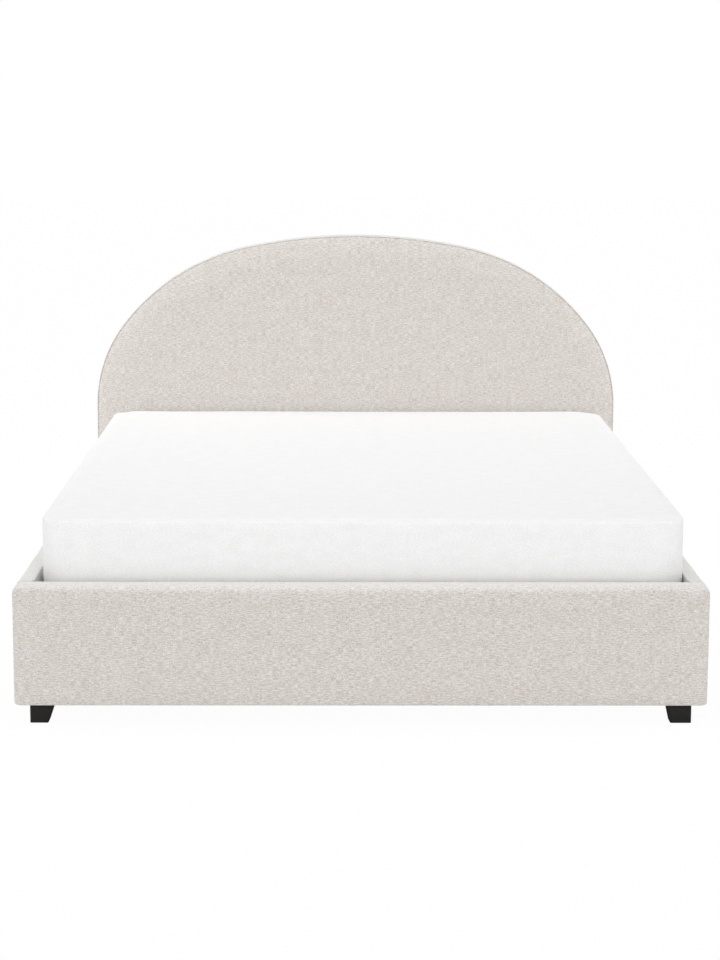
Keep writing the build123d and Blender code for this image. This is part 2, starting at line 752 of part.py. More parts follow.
with BuildPart() as rest_buffers:
    for sign in (-1, 1):
        for distance in rest_bracket_distances:
            spot = (sign * tube_centre_x, distance)
            bar((*spot, rest_leg_z[1]), (*spot, rest_leg_z[1] + buffer_height), buffer_radius)
finish(rest_buffers, "rest_buffers")


def screw(sign, seat_x, spot, head_radius, head_height):
    """A screw driven outwards into a side rail; its head stands inwards from its seat."""
    cross_bar(sign, (seat_x - head_height, seat_x), spot, head_radius)
    cross_bar(sign, (seat_x, board_inner_x + screw_depth), spot, screw_radius)


with BuildPart() as rail_screws:
    for sign in (-1, 1):
        for spot in plate_screws:
            screw(sign, base_plate_x[0], spot, screw_head_radius, screw_head_height)
        for spot in track_screws:
            seat = track_x[1] - track_wall + flush_head_height
            screw(sign, seat, spot, flush_head_radius, flush_head_height)
        for spot in rest_screws:
            screw(sign, inner_x, spot, screw_head_radius, screw_head_height)
        for spot in ledge_screws:
            screw(sign, ledge_x[0] + screw_head_height, spot, screw_head_radius, screw_head_height)
finish(rail_screws, "rail_screws")

# Swing arms, each with the stud that the strut's rod hangs on
for side, sign in SIDES:
    with BuildPart() as swing_arm:
        with BuildSketch(side_plane(sign, arm_x[0])):
            add(linked_plate((arm_pivot, platform_pivot, strut_top), lug_radius))
        extrude(amount=sign * arm_thickness)
        eye_x = (strut_eye_x[0] - pivot_play, strut_eye_x[1] + pivot_play)
        cross_bar(sign, (eye_x[1], arm_x[0]), strut_top, strut_neck_radius)
        cross_bar(sign, eye_x, strut_top, strut_pin_radius)
        cross_bar(sign, (eye_x[0] - pivot_head_height, eye_x[0]), strut_top, strut_neck_radius)
        for spot in (arm_pivot, platform_pivot):
            cross_bar(sign, arm_x, spot, pivot_radius + running_clearance, Mode.SUBTRACT)
    finish(swing_arm, f"swing_arm_{side}")


# Gas struts
def strut_place(sign, reach):
    """A place on a strut's centre line, at a reach from its lower stud."""
    share = reach / strut_length
    distance = strut_base[0] + share * strut_run[0]
    return (sign * strut_x, distance, strut_base[1] + share * strut_run[1])


for side, sign in SIDES:
    with BuildPart() as strut_cylinder:
        cross_bar(sign, strut_eye_x, strut_base, strut_body_radius)
        body = (strut_place(sign, strut_body_radius), strut_place(sign, strut_body_length))
        bore_end = strut_place(sign, strut_body_length - strut_guide_length)
        bar(*body, strut_body_radius)
        bar(strut_place(sign, strut_back_wall), bore_end, strut_bore_radius, Mode.SUBTRACT)
        bar(bore_end, body[1], strut_rod_radius + running_clearance, Mode.SUBTRACT)
        past_eye = (strut_x - strut_body_radius, strut_x + strut_body_radius)
        hole = strut_pin_radius + running_clearance
        cross_bar(sign, past_eye, strut_base, hole, Mode.SUBTRACT)
    finish(strut_cylinder, f"strut_cylinder_{side}")

    with BuildPart() as strut_rod:
        piston = strut_length - strut_rod_length
        bar(strut_place(sign, piston), strut_place(sign, strut_length), strut_rod_radius)
        piston_end = strut_place(sign, piston + piston_thickness)
        bar(strut_place(sign, piston), piston_end, strut_bore_radius - piston_clearance)
        cross_bar(sign, strut_eye_x, strut_top, strut_body_radius)
        cross_bar(sign, strut_eye_x, strut_top, hole, Mode.SUBTRACT)
    finish(strut_rod, f"strut_rod_{side}")

# Platform frame of welded square tube
for side, sign in SIDES:
    side_tube = lengthwise_tube(sign * tube_centre_x, platform_distance, tube_z, tube_size)
    with BuildPart() as platform_side_tube:
        add(side_tube)
    finish(platform_side_tube, f"platform_side_tube_{side}")

head_tube_distance = platform_distance[0] + tube_size / 2
foot_tube_distance = platform_distance[1] - tube_size / 2
for end, distance in (("head", head_tube_distance), ("foot", foot_tube_distance)):
    end_tube = crosswise_tube((-tube_inner_x, tube_inner_x), distance, tube_z)
    with BuildPart() as platform_end_tube:
        add(end_tube)
    finish(platform_end_tube, f"platform_{end}_tube")

middle_distance = sum(platform_distance) / 2
centre_ends = (
    (platform_distance[0] + tube_size, middle_distance - tube_size / 2),
    (middle_distance + tube_size / 2, platform_distance[1] - tube_size),
)
centre_tubes = [lengthwise_tube(0, ends, tube_z, centre_tube_width) for ends in centre_ends]
with BuildPart() as platform_centre_tubes:
    for tube in centre_tubes:
        add(tube)
finish(platform_centre_tubes, "platform_centre_tubes")

middle_tube = crosswise_tube((-tube_inner_x, tube_inner_x), middle_distance, tube_z)
with BuildPart() as platform_cross_tube:
    add(middle_tube)
finish(platform_cross_tube, "platform_cross_tube")

# Slats, held in plastic caps on the side tubes and on the centre tubes
slat_z = (tube_top + cap_wall, tube_top + cap_wall + slat_thickness)
slat_x = (slat_centre_gap, slat_outer_x)
for side, sign in SIDES:
    with BuildPart() as slats:
        with BuildSketch(side_plane(sign, slat_x[0])):
            with Locations([(along(distance), sum(slat_z) / 2) for distance in slat_distances]):
                RectangleRounded(slat_width, slat_thickness, slat_edge_radius)
        extrude(amount=sign * (slat_x[1] - slat_x[0]))
    finish(slats, f"slats_{side}")


def slat_span(distance, margin):
    return (distance - slat_width / 2 - margin, distance + slat_width / 2 + margin)


with BuildPart() as slat_side_caps:
    for sign in (-1, 1):
        cap_end_x = slat_outer_x + cap_side_wall
        cap_x = (sign * (cap_end_x - cap_length), sign * cap_end_x)
        pocket_x = (cap_x[0], sign * slat_outer_x)
        for distance in slat_distances:
            block(cap_x, slat_span(distance, cap_side_wall), (tube_top, mattress_base_height))
            block(pocket_x, slat_span(distance, 0), slat_z, Mode.SUBTRACT)
finish(slat_side_caps, "slat_side_caps")

with BuildPart() as slat_centre_caps:
    for distance in slat_distances:
        cap_x = (-cap_length, cap_length)
        block(cap_x, slat_span(distance, cap_side_wall), (tube_top, mattress_base_height))
        for sign in (-1, 1):
            pocket_x = (sign * slat_centre_gap, sign * cap_length)
            block(pocket_x, slat_span(distance, 0), slat_z, Mode.SUBTRACT)
finish(slat_centre_caps, "slat_centre_caps")

# Hinge plates on the platform's side tubes, their studs and the glides
hinge_corner = (glide_distance, platform_pivot[1])
for side, sign in SIDES:
    with BuildPart() as hinge_plate:
        with BuildSketch(side_plane(sign, hinge_plate_x[0])):
            add(linked_plate((glide_spot, platform_pivot, hinge_corner), lug_radius))
        extrude(amount=sign * hinge_plate_thickness)
    finish(hinge_plate, f"hinge_plate_{side}")

glide_x = (track_x[0] + glide_clearance, track_x[1] - track_wall - track_wall / 2)
with BuildPart() as platform_studs:
    for sign in (-1, 1):
        arm_hole_x = (arm_x[0] - pivot_play, arm_x[1] + pivot_play)
        cross_bar(sign, (hinge_plate_x[1], arm_hole_x[0]), platform_pivot, pivot_shoulder_radius)
        cross_bar(sign, arm_hole_x, platform_pivot, pivot_radius)
        cap_x = (arm_hole_x[1], arm_hole_x[1] + pivot_head_height)
        cross_bar(sign, cap_x, platform_pivot, pivot_shoulder_radius)
        cross_bar(sign, (hinge_plate_x[1], glide_x[0]), glide_spot, pivot_shoulder_radius)
        cross_bar(sign, glide_x, glide_spot, glide_pin_radius)
finish(platform_studs, "platform_studs")

with BuildPart() as glides:
    for sign in (-1, 1):
        cross_bar(sign, glide_x, glide_spot, glide_radius)
        hole = glide_pin_radius + running_clearance
        cross_bar(sign, glide_x, glide_spot, hole, Mode.SUBTRACT)
finish(glides, "glides")

# Stop that holds the mattress on the tilted platform, with the pull strap on its front
stop_distance = (foot_end + stop_gap, foot_end + stop_gap + stop_thickness)
with BuildPart() as mattress_stop:
    half_stop = stop_width / 2
    block(
        (-half_stop, half_stop),
        (platform_distance[1] - tube_size, stop_distance[1]),
        (tube_top, tube_top + stop_thickness),
    )
    block((-half_stop, half_stop), stop_distance, (tube_top, tube_top + stop_height))
finish(mattress_stop, "mattress_stop")

with BuildPart() as pull_strap:
    with BuildSketch(end_plane(stop_distance[1])):
        with Locations((0, tube_top + stop_thickness + strap_length / 2)):
            RectangleRounded(strap_width, strap_length, strap_corner_radius)
    extrude(amount=strap_thickness)
finish(pull_strap, "pull_strap")

# Mattress: a quilted cover round a foam pad, a border, pocket springs and a base pad
cover = mattress_cover_thickness
cavity_z = (mattress_base_height + cover, mattress_top - cover)
springs_z = (cavity_z[0] + base_pad_thickness, cavity_z[1] - comfort_pad_thickness)
inner_rounds = (mattress_top_round - cover, mattress_bottom_round - cover)
outer_form = soft_slab(
    0, mattress_base_height, mattress_top, mattress_top_round, mattress_bottom_round
)
cavity_form = soft_slab(cover, *cavity_z, *inner_rounds)
with BuildPart() as mattress_cover:
    add(outer_form)
    add(cavity_form, mode=Mode.SUBTRACT)
finish(mattress_cover, "mattress_cover")

top_pad = soft_slab(cover, springs_z[1], cavity_z[1], inner_rounds[0], 0)
base_pad = soft_slab(cover, cavity_z[0], springs_z[0], 0, inner_rounds[1])
with BuildPart() as mattress_pads:
    add(top_pad)
    add(base_pad)
finish(mattress_pads, "mattress_pads")

border_outer = soft_slab(cover, *springs_z, 0, 0)
border_inner = soft_slab(cover + border_foam_width, *springs_z, 0, 0)
with BuildPart() as mattress_border:
    add(border_outer)
    add(border_inner, mode=Mode.SUBTRACT)
finish(mattress_border, "mattress_border")

spring_bay = (
    mattress_width - 2 * (cover + border_foam_width), mattress_length - 2 * (cover + border_foam_width)
)
spring_pitch = (spring_bay[0] / spring_columns, spring_bay[1] / spring_rows)
pocket_radius = (min(spring_pitch) - spring_pocket_gap) / 2
with BuildPart() as mattress_springs:
    with BuildSketch(Plane.XY.offset(springs_z[0])):
        with Locations((mattress_offset, along(head_gap + mattress_length / 2))):
            with GridLocations(*spring_pitch, spring_columns, spring_rows):
                Circle(pocket_radius)
                Circle(pocket_radius - spring_pocket_wall, mode=Mode.SUBTRACT)
    extrude(amount=springs_z[1] - springs_z[0])
finish(mattress_springs, "mattress_springs")
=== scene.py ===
import json
from math import atan2, ceil, cos, hypot, pi, radians, sin, tan

import bmesh
import bpy
from mathutils import Euler, Matrix, Vector, noise


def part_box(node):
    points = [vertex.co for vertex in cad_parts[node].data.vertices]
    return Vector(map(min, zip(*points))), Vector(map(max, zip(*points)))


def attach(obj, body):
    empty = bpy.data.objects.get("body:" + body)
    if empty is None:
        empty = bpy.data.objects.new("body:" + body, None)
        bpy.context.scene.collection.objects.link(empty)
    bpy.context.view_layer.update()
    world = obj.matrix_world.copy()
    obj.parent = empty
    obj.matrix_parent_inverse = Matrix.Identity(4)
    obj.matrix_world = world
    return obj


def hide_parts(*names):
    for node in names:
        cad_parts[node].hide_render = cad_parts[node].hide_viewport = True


# Upholstered double bed: the padded pieces as soft meshes over the frame, the finish of every
# surface, and a plain white studio. Metres; X to the right seen from the foot, Y to the head.

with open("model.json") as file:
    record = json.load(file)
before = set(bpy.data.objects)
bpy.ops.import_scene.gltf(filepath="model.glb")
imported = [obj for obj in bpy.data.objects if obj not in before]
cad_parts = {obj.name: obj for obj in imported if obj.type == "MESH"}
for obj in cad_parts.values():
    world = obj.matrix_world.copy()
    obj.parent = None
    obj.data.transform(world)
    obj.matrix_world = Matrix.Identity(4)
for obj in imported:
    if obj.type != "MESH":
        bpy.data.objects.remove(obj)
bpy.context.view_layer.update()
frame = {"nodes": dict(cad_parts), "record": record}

# Camera, as fitted to the photograph
lens = 85.53
sensor = 36.0
camera_place = (-0.0566, -6.531, 1.531)
camera_pitch = radians(-9.53)
camera_yaw = radians(-0.544)
camera_roll = radians(0.17)

# Headboard outline: upright sides, then arcs that meet tangentially
side_arc_radius = 0.440
side_arc_turn = radians(37.5)
shoulder_arc_radius = 0.695
shoulder_arc_turn = radians(77.8)
band_thickness = 0.010
seam_inset = 0.003
band_seam_roll = 0.0007
band_swell = 0.0015

# Mesh cells of the padded pieces
cell = 0.016
front_cell = 0.024
roll_cell = 0.022
mattress_cell = 0.025
same_place = 1e-5

# Padding
WEAVE = "weave"
pad_edge_depth_shares = (1.0, 0.7, 0.37, 0.335, 0.28, 0.215, 0.15, 0.09, 0.045, 0.015, 0.0)
pad_edge_width_shares = (0.0, 0.0, 0.0, 0.03, 0.09, 0.18, 0.3, 0.44, 0.61, 0.8, 1.0)
pad_edge_width = 0.064
pad_front_reach = 0.004
cushion_crown = 0.0045
padding_crown = 0.003
mattress_crown = 0.004
band_side_shares = (0.2, 0.4, 0.6, 0.8)
mean_outline_radius = 0.74
board_fabric = 0.003
turned_edge_above_brackets = 0.031
rail_swell_room = 0.002
rail_top_round = 0.020
rail_inner_round = 0.004
rail_bottom_round = 0.006
footboard_front_swell_room = 0.002
footboard_top_swell_room = 0.001
footboard_top_round = 0.022
footboard_corner_round = 0.021
held_end = 0.05
held_tuck = 0.03
held_rear = 0.02
mattress_corner_radius = 0.077
mattress_top_round = 0.005
mattress_bottom_round = 0.016
mattress_foot_hold = 0.04
mattress_seam_hold = 0.03
mattress_side_share = 0.12
strap_ply_share = 0.4
strap_steps = 8

# Back of the headboard
lining_inset = 0.003
lining_hem = 0.009
lining_thickness = 0.0004
lining_sag = 0.006
lining_slack_rounds = 60
bearing_reach = 0.01
staple_inset = 0.018
staple_spacing = 0.055
staple_width = 0.012
staple_wire = 0.0012

# Lamps. Broad ones: name, azimuth from the foot, height, width (degrees) and strength. Panels: name,
# place, what it is turned to, size (metres) and power (watts).
broad_lamps = (
    ("front", 0, 10, 70, 0.9),
    ("front_high", 0, 48, 50, 0.3),
    ("above", 0, 85, 50, 0.35),
    ("left", -88, 22, 40, 0.35),
    ("right", 88, 22, 40, 0.3),
)
panel_lamps = (
    ("overhead", (-0.4, 0.2, 4.0), (0, 0.2, 0), (3.0, 3.0), 25),
    ("rim_left", (-2.2, 1.12, 0.8), (-0.8, 1.0, 0.7), (0.7, 1.2), 7),
    ("rim_right", (2.2, 1.12, 0.8), (0.8, 1.0, 0.7), (0.7, 1.2), 5),
)
surround_light = 0.5
surround_seen = 1.0
floor_size = 30
floor_glow_share = 0.97
white = (1, 1, 1, 1)


def linear(level):
    """A display level of 0 to 255 as the light that it stands for."""
    share = level / 255
    return share / 12.92 if share <= 0.04045 else ((share + 0.055) / 1.055) ** 2.4


def paint(red, green, blue):
    return (linear(red), linear(green), linear(blue), 1.0)


class Shade:
    """A value in a material or the world; arithmetic on it adds Math nodes."""

    def __init__(self, nodes, socket):
        self.nodes = nodes
        self.socket = socket

    def math(self, operation, *values):
        return self.nodes.node("ShaderNodeMath", {"operation": operation}, dict(enumerate(values)))

    def __add__(self, other):
        return self.math("ADD", self, other)

    def __sub__(self, other):
        return self.math("SUBTRACT", self, other)

    def __rsub__(self, other):
        return self.math("SUBTRACT", other, self)

    def __mul__(self, other):
        return self.math("MULTIPLY", self, other)

    __radd__ = __add__
    __rmul__ = __mul__

    def between(self, low, high):
        """The value held between two limits."""
        return self.math("MAXIMUM", self.math("MINIMUM", self, high), low)

    def sine(self):
        return self.math("SINE", self)

    def wave(self, length):
        """A sine that comes round once in this length."""
        return (self * (2 * pi / length)).sine()

    def stretched(self, *scale):
        """A vector times a fixed scale along each axis."""
        return self.nodes.node("ShaderNodeVectorMath", {"operation": "MULTIPLY"}, {0: self, 1: scale})

    def axis(self, name):
        return self.nodes.node("ShaderNodeSeparateXYZ", {}, {0: self}, name)


class Nodes:
    """A tree of shader nodes; one method adds any node to it."""

    def __init__(self, tree):
        self.tree = tree

    def feed(self, socket, value):
        if isinstance(value, Shade):
            self.tree.links.new(value.socket, socket)
        else:
            socket.default_value = value

    def node(self, kind, settings, inputs, output=0):
        made = self.tree.nodes.new(kind)
        for key, value in settings.items():
            if key == "stops":
                for stop, (place, colour) in zip(self.stops(made, len(value)), value):
                    stop.position = place
                    stop.color = colour
            else:
                setattr(made, key, value)
        for key, value in inputs.items():
            self.feed(made.inputs[key], value)
        return Shade(self, made.outputs[output])

    def stops(self, ramp, count):
        """A colour ramp's stops, of which it starts with two."""
        for extra in range(count - 2):
            ramp.color_ramp.elements.new((extra + 1) / (count - 1))
        return list(ramp.color_ramp.elements)

    def ramp(self, value, *stops):
        return self.node("ShaderNodeValToRGB", {"stops": stops}, {0: value})

    def shown(self):
        """1 for what the camera sees, also in gloss or through glass, and 0 for other light."""
        camera, glossy, through = [
            self.node("ShaderNodeLightPath", {}, {}, f"Is {kind} Ray")
            for kind in ("Camera", "Glossy", "Transmission")
        ]
        return (camera + glossy + through).between(0.0, 1.0)


class Finish(Nodes):
    """A material with its principled shader."""

    def __init__(self, name, **constants):
        self.material = bpy.data.materials.new(name)
        self.material.use_nodes = True
        super().__init__(self.material.node_tree)
        self.shader = self.tree.nodes["Principled BSDF"]
        for key, value in constants.items():
            self.shader.inputs[key.replace("_", " ")].default_value = value

    def place(self):
        """Where a point is on the object."""
        return self.node("ShaderNodeTexCoord", {}, {}, "Object")

    def lay(self):
        """Where a point is on the flat cloth, across and along it."""
        return self.node("ShaderNodeUVMap", {"uv_map": WEAVE}, {})

    def grain(self, vector, *scale, detail=2.0, rough=0.55):
        """Noise with its own scale along each axis, about 0.5."""
        return self.node(
            "ShaderNodeTexNoise",
            {},
            {
                "Vector": vector.stretched(*scale),
                "Scale": 1.0,
                "Detail": detail,
                "Roughness": rough,
            },
        )

    def coloured(self, value, *stops):
        """Colour the surface by a value, from stop to stop."""
        self.feed(self.shader.inputs["Base Color"], self.ramp(value, *stops))

    def roughened(self, value):
        self.feed(self.shader.inputs["Roughness"], value)

    def raised(self, height, depth, strength=1.0):
        """Bump whose full height stands this deep, in metres."""
        bump = self.node(
            "ShaderNodeBump", {}, {"Height": height, "Distance": depth, "Strength": strength}
        )
        self.feed(self.shader.inputs["Normal"], bump)


def greige_upholstery():
    """Chenille-like mélange cloth: light slubs and flecks on a pinker ground, with painted top light."""
    finish = Finish(
        "greige_upholstery",
        Roughness=0.92,
        Sheen_Weight=0.9,
        Sheen_Roughness=0.35,
        Specular_IOR_Level=0.15,
    )
    lay = finish.lay()
    slubs = finish.grain(lay, 160, 620, 1, detail=2.0)
    flecks = finish.grain(lay, 420, 1000, 1, detail=1.5)
    streaks = finish.grain(lay, 64, 540, 1, detail=1.0)
    mottle = finish.grain(lay, 14, 40, 1, detail=6.0, rough=0.7)
    tone = 0.5 + (slubs - 0.5) * 1.6 + (flecks - 0.5) * 2.3 + (streaks - 0.5) * 1.5
    # Painted top light: the more a face points up, the lighter its colour, standing in for light from
    # above.
    rise = finish.node("ShaderNodeNewGeometry", {}, {}, "Normal").axis("Z")
    upward = ((rise - 0.4) * 1.7).between(0.0, 1.0)
    tone = tone + (mottle - 0.5) * 0.45 + upward * 0.32
    finish.coloured(
        tone.between(0.0, 1.0),
        (0.0, paint(184, 171, 163)),
        (0.35, paint(206, 198, 192)),
        (0.62, paint(219, 215, 210)),
        (1.0, paint(240, 239, 236)),
    )
    across = lay.axis("X").wave(0.0024)
    along = lay.axis("Y").wave(0.0020)
    finish.raised(slubs * 0.7 + flecks * 0.5 + across * along * 0.1, 0.0009, 0.6)
    return finish.material


def white_knit():
    """A fine stretch knit with faint clouds in its white."""
    finish = Finish("white_knit", Roughness=0.85, Sheen_Weight=0.1, Specular_IOR_Level=0.2)
    lay = finish.lay()
    clouds = finish.grain(lay, 24, 40, 1, detail=3.0)
    stitches = finish.grain(lay, 180, 420, 1, detail=1.5)
    tone = 0.5 + (clouds - 0.5) * 0.8 + (stitches - 0.5) * 2.4
    finish.coloured(
        tone.between(0.0, 1.0), (0.0, paint(238, 238, 238)), (1.0, paint(252, 252, 252))
    )
    ribs = lay.axis("X").wave(0.0016)
    loops = lay.axis("Y").wave(0.0022)
    finish.raised(stitches * 0.5 + ribs * loops * 0.2, 0.0005, 0.5)
    return finish.material


def lining_cloth():
    """Thin black spunbond cloth with its grid of pressed dots."""
    finish = Finish("black_lining", Roughness=0.8)
    place = finish.place()
    fibres = finish.grain(place, 400, 400, 400, detail=4.0)
    finish.coloured(fibres, (0.3, paint(22, 22, 23)), (0.75, paint(52, 51, 50)))
    dots = place.axis("X").wave(0.003) * place.axis("Z").wave(0.003)
    finish.raised(dots.between(0.2, 1.0) * 0.6 + fibres * 0.4, 0.0003, 0.6)
    return finish.material


def board(name, dark, light, size):
    """Pressed wood chips or fibres, seen where a board isn't covered."""
    finish = Finish(name, Roughness=0.85)
    place = finish.place()
    chips = finish.grain(place, *size, detail=5.0, rough=0.7)
    specks = finish.grain(place, *[4 * share for share in size], detail=2.0)
    tone = chips * 0.65 + specks * 0.35
    finish.coloured(tone, (0.32, paint(*dark)), (0.66, paint(*light)))
    finish.raised(tone, 0.0004, 0.5)
    return finish.material


def timber(name, dark, light, grain_scale, axis, spacing, roughness):
    """Wood with its grain along the axis of the smallest scale, and yearly rings or plies."""
    finish = Finish(name)
    place = finish.place()
    fibres = finish.grain(place, *grain_scale, detail=5.0, rough=0.6)
    wander = finish.grain(place, *[share / 12 for share in grain_scale], detail=2.0)
    rings = (place.axis(axis) * (2 * pi / spacing) + wander * 9.0).sine()
    tone = fibres * 0.7 + rings * 0.12 + 0.18
    finish.coloured(tone, (0.25, paint(*dark)), (0.75, paint(*light)))
    finish.roughened(roughness + fibres * 0.2)
    finish.raised(fibres, 0.0003, 0.5)
    return finish.material


def moulded_plastic(name, tone, roughness, texture):
    """Moulded plastic with a spark-eroded texture and faint handling marks."""
    finish = Finish(name, Specular_IOR_Level=0.2)
    place = finish.place()
    pits = finish.grain(place, texture, texture, texture, detail=2.0)
    smears = finish.grain(place, 35, 35, 60, detail=3.0)
    dark = paint(*[level * 0.9 for level in tone])
    light = paint(*[min(255, level * 1.12 + 4) for level in tone])
    finish.coloured(smears * 0.6 + pits * 0.4, (0.3, dark), (0.7, light))
    finish.roughened(roughness + (smears - 0.5) * 0.25)
    finish.raised(pits, 0.0002, 0.6)
    return finish.material


def rubber_finish():
    """Black rubber with its greyish bloom."""
    finish = Finish("black_rubber", Specular_IOR_Level=0.3)
    place = finish.place()
    bloom = finish.grain(place, 90, 90, 90, detail=4.0)
    finish.coloured(bloom, (0.35, paint(24, 24, 24)), (0.7, paint(48, 47, 46)))
    finish.roughened(0.75 + bloom * 0.2)
    finish.raised(bloom, 0.0002, 0.4)
    return finish.material


def powder_coat():
    """Black powder-coated steel with its fine orange peel."""
    finish = Finish("black_powder_coat", Coat_Weight=0.1)
    place = finish.place()
    peel = finish.grain(place, 700, 700, 700, detail=2.0)
    dust = finish.grain(place, 14, 9, 14, detail=4.0)
    finish.coloured(dust, (0.3, paint(26, 26, 27)), (0.75, paint(44, 44, 45)))
    finish.roughened(0.38 + dust * 0.2)
    finish.raised(peel, 0.00025, 0.5)
    return finish.material


def plated_steel():
    """Zinc-plated steel, a little cloudy, bluish in places."""
    finish = Finish("zinc_plated_steel", Metallic=1.0)
    place = finish.place()
    clouds = finish.grain(place, 60, 60, 60, detail=4.0)
    scratches = finish.grain(place, 900, 60, 900, detail=2.0)
    finish.coloured(clouds, (0.3, paint(176, 180, 186)), (0.7, paint(208, 207, 200)))
    finish.roughened(0.26 + clouds * 0.2 + scratches * 0.1)
    finish.raised(scratches, 0.0001, 0.3)
    return finish.material


def chrome_finish():
    """A hard-chromed rod with the faintest lengthwise polish lines."""
    finish = Finish("chromed_rod", Metallic=1.0)
    place = finish.place()
    lines = finish.grain(place, 1500, 60, 60, detail=1.0)
    finish.coloured(lines, (0.2, paint(214, 216, 219)), (0.8, paint(232, 233, 235)))
    finish.roughened(0.07 + lines * 0.06)
    return finish.material


def webbing():
    """Grey woven strap with chevron ribs."""
    finish = Finish("grey_webbing", Roughness=0.75, Sheen_Weight=0.2)
    place = finish.place()
    zigzag = place.math("PINGPONG", place.axis("X"), 0.005)
    ribs = (place.axis("Z") * (2 * pi / 0.0022) + zigzag * 1800).sine()
    threads = finish.grain(place, 900, 900, 900, detail=2.0)
    tone = ribs * 0.3 + 0.35 + threads * 0.3
    finish.coloured(tone, (0.1, paint(58, 58, 60)), (0.9, paint(112, 112, 115)))
    finish.raised(ribs * 0.5 + threads * 0.3, 0.0006, 0.8)
    return finish.material


def foam_finish(name, dark, light):
    """Open-celled foam or felt, where it can be seen at all."""
    finish = Finish(name, Roughness=0.95)
    place = finish.place()
    cells = finish.grain(place, 500, 500, 500, detail=3.0)
    finish.coloured(cells, (0.3, paint(*dark)), (0.7, paint(*light)))
    finish.raised(cells, 0.0006, 0.6)
    return finish.material


finishes = {
    "upholstery_fabric": greige_upholstery(),
    "white_knit": white_knit(),
    "black_lining_cloth": lining_cloth(),
    "grey_webbing": webbing(),
    "particle_board": board("particle_board", (146, 116, 80), (206, 180, 140), (90, 90, 160)),
    "grey_fibreboard": board("grey_fibreboard", (92, 90, 88), (128, 126, 123), (220, 220, 220)),
    "softwood": timber(
        "pine", (188, 146, 92), (226, 194, 146), (70, 5, 70), "X", spacing=0.012, roughness=0.55
    ),
    "birch_plywood": timber(
        "birch", (196, 160, 108), (232, 206, 162), (6, 110, 110), "Z", spacing=0.0016, roughness=0.4
    ),
    "black_plastic": moulded_plastic("black_moulded_plastic", (27, 26, 24), 0.55, 1200),
    "grey_plastic": moulded_plastic("grey_moulded_plastic", (84, 84, 86), 0.55, 900),
    "white_nylon": moulded_plastic("white_nylon", (222, 220, 212), 0.4, 600),
    "black_rubber": rubber_finish(),
    "zinc_steel": plated_steel(),
    "black_steel": powder_coat(),
    "chromed_steel": chrome_finish(),
    "foam": foam_finish("foam", (224, 214, 184), (238, 232, 208)),
    "spring_pocket_felt": foam_finish("pocket_felt", (206, 206, 202), (226, 226, 222)),
}


def dress_frame():
    """Give each node of the frame the finish of its material slot."""
    for part in frame["record"]["subparts"]:
        for spot in frame["nodes"][part["node"]].material_slots:
            spot.material = finishes[part["material_slot"]]


def only(found, kind):
    """The elements of one kind, such as bmesh.types.BMVert."""
    return [element for element in found if isinstance(element, kind)]


def spread(low, high, step):
    """Evenly spaced places from low to high, about a step apart."""
    count = max(1, round((high - low) / step))
    return [low + (high - low) * k / count for k in range(count + 1)]


def sliced(bm, axis, places, region=None):
    """Cut a mesh, or only the faces of one region, at each of these places along one axis."""
    normal = Vector((0, 0, 0))
    normal[axis] = 1
    for spot in places:
        faces = [face for face in bm.faces if region is None or region(face)]
        near = {edge for face in faces for edge in face.edges}
        verts = {vert for edge in near for vert in edge.verts}
        bmesh.ops.bisect_plane(
            bm,
            geom=faces + list(near) + list(verts),
            dist=same_place,
            plane_co=normal * spot,
            plane_no=normal,
        )


def lies_at(axis, spot):
    """Whether a face lies wholly in a plane square to an axis."""
    return lambda face: all(abs(getattr(vert.co, axis) - spot) < same_place for vert in face.verts)


def points_at(bm, **planes):
    """The points at these coordinates, such as z=0.5."""
    found = []
    for vert in bm.verts:
        if all(abs(getattr(vert.co, axis) - spot) < same_place for axis, spot in planes.items()):
            found.append(vert)
    return found


def edges_at(bm, **planes):
    """The edges that lie wholly at these coordinates, such as z=0.5."""
    points = set(points_at(bm, **planes))
    return [edge for edge in bm.edges if points.issuperset(edge.verts)]


def open_edges(bm):
    return [edge for edge in bm.edges if edge.is_boundary]


def rounded(bm, geom, radius, segments, affect="EDGES"):
    bmesh.ops.bevel(
        bm,
        geom=geom,
        offset=radius,
        offset_type="OFFSET",
        segments=segments,
        profile=0.5,
        affect=affect,
        clamp_overlap=False,
        material=-1,
    )


def block(low, high):
    """A box between two corners."""
    bm = bmesh.new()
    bmesh.ops.create_cube(bm, size=1)
    bmesh.ops.scale(bm, verts=bm.verts, vec=high - low)
    bmesh.ops.translate(bm, verts=bm.verts, vec=(low + high) / 2)
    return bm


def lay_cloth(bm, flat):
    """Write where each corner of each face lies on the flat cloth."""
    layer = bm.loops.layers.uv.new(WEAVE)
    for face in bm.faces:
        face.smooth = True
        for loop in face.loops:
            loop[layer].uv = flat(loop.vert.co, face.normal)


def boxed(place, normal):
    """The cloth of a box-like piece: across it is X or Y, and up it is Z or what's left."""
    lean = [abs(part) for part in normal]
    if lean[2] >= max(lean):
        return (place.x, place.y)
    if lean[0] >= lean[1]:
        return (place.y, place.z)
    return (place.x, place.z)


def wrapped_over_rail(place, normal):
    """The cloth of a rail: it runs along it, up its outside and over its top."""
    if abs(normal.y) > 0.7:
        return (place.x, place.z)
    return (place.y, place.z - abs(place.x))


def finished(name, bm, body, slot, *nodes):
    """Make a bmesh an object that rides on a body and stands for some nodes."""
    mesh = bpy.data.meshes.new(name)
    bm.to_mesh(mesh)
    bm.free()
    piece = bpy.data.objects.new(name, mesh)
    bpy.context.scene.collection.objects.link(piece)
    mesh.materials.append(finishes[slot])
    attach(piece, body)
    if nodes:
        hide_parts(*nodes)
    return piece


